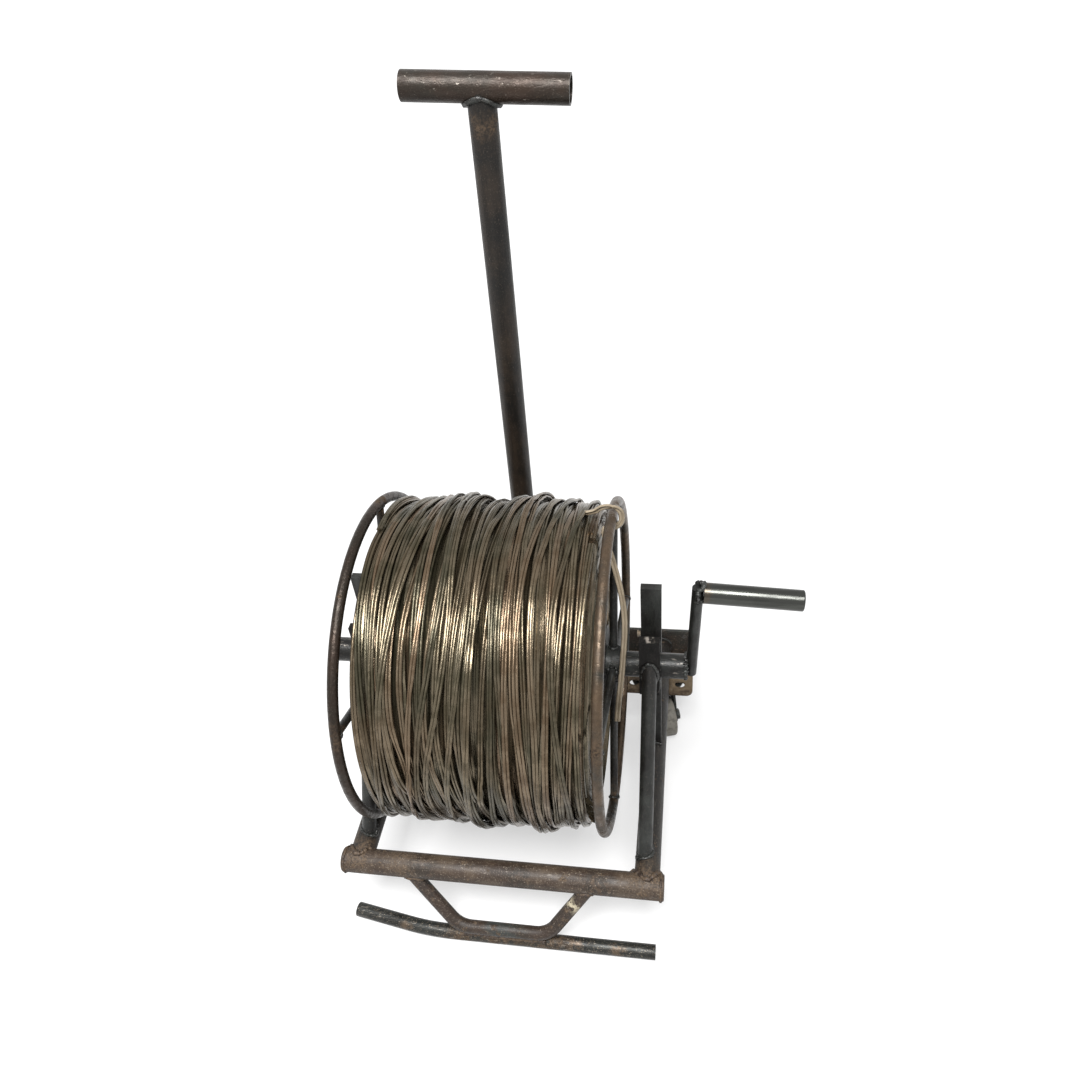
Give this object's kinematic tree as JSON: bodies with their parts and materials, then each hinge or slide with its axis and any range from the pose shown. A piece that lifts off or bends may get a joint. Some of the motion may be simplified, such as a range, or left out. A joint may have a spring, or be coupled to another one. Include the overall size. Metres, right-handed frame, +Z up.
{
  "type": "cable reel",
  "caption": "Hand-cranked cable reel: open ring-flange drum wound with twin-core cable, in a welded tube frame with a T handle, a foot bar and swivel casters.",
  "frame": {"origin": "on the floor, under the middle of the reel's box without its loose cable end", "axes": "+Z up, +X along the drum's axle towards the crank, +Y from the foot bar to the casters and the T handle"},
  "size_m": [0.478, 0.3938, 0.7486],
  "materials": {
    "frame_steel": "worn black paint on steel, with bare weld beads",
    "rusty_frame_steel": "thin dark paint over brown rust, scuffed",
    "handle_steel": "brown-black mill scale and rust, rubbed smooth",
    "drum_steel": "dark rubbed steel bar, rusty at the welds",
    "polished_grip": "steel polished by the hand",
    "zinc_plate": "dull zinc plate with rust at its edges",
    "wheel_rubber": "dusty grey solid rubber",
    "cable_sheath": "clear aged sheath over copper strands"
  },
  "bodies": {
    "frame": {"front_crossbar": "rusty_frame_steel", "rear_crossbar": "rusty_frame_steel", "rail_left": "rusty_frame_steel", "rail_right": "rusty_frame_steel", "foot_leg": "rusty_frame_steel", "foot_bar": "rusty_frame_steel", "handle_shaft": "handle_steel", "handle_grip": "handle_steel", "fork_rear_left": "frame_steel", "fork_rear_right": "frame_steel", "fork_front_left": "frame_steel", "fork_front_right": "frame_steel", "axle_seat_left": "frame_steel", "axle_seat_right": "frame_steel", "strut_left": "frame_steel", "strut_right": "frame_steel", "caster_plate_left": "zinc_plate", "caster_plate_right": "zinc_plate", "caster_kingpin_left": "zinc_plate", "caster_kingpin_right": "zinc_plate", "crossbar_cap_left": "rusty_frame_steel", "crossbar_cap_right": "rusty_frame_steel"},
    "drum": {"axle": "frame_steel", "drum_core": "drum_steel", "cable_winding": "cable_sheath", "cable_tail": "cable_sheath", "crank_arm": "frame_steel", "crank_grip": "polished_grip", "hub_left": "drum_steel", "hub_right": "drum_steel", "flange_ring_left": "drum_steel", "flange_ring_right": "drum_steel", "spoke_left_1": "drum_steel", "spoke_left_2": "drum_steel", "spoke_left_3": "drum_steel", "spoke_left_4": "drum_steel", "spoke_right_1": "drum_steel", "spoke_right_2": "drum_steel", "spoke_right_3": "drum_steel", "spoke_right_4": "drum_steel"},
    "swivel_left": {"caster_fork_left": "zinc_plate", "caster_pin_left": "zinc_plate"},
    "wheel_left": {"caster_wheel_left": "wheel_rubber"},
    "swivel_right": {"caster_fork_right": "zinc_plate", "caster_pin_right": "zinc_plate"},
    "wheel_right": {"caster_wheel_right": "wheel_rubber"}
  },
  "joints": [
    {"name": "drum_spin", "type": "hinge", "parent": "frame", "child": "drum", "pos_m": [-0.05375, -0.0084, 0.237], "axis": [1, 0, 0], "continuous": true},
    {"name": "caster_swivel_left", "type": "hinge", "parent": "frame", "child": "swivel_left", "pos_m": [-0.19605, 0.1336, 0.06785], "axis": [0, 0, 1], "continuous": true},
    {"name": "wheel_spin_left", "type": "hinge", "parent": "swivel_left", "child": "wheel_left", "pos_m": [-0.20168, 0.09804, 0.025], "axis": [0.9877, -0.1564, 0], "continuous": true},
    {"name": "caster_swivel_right", "type": "hinge", "parent": "frame", "child": "swivel_right", "pos_m": [0.09995, 0.1336, 0.06785], "axis": [0, 0, 1], "continuous": true},
    {"name": "wheel_spin_right", "type": "hinge", "parent": "swivel_right", "child": "wheel_right", "pos_m": [0.11048, 0.09917, 0.025], "axis": [0.9563, 0.2924, 0], "continuous": true}
  ]
}
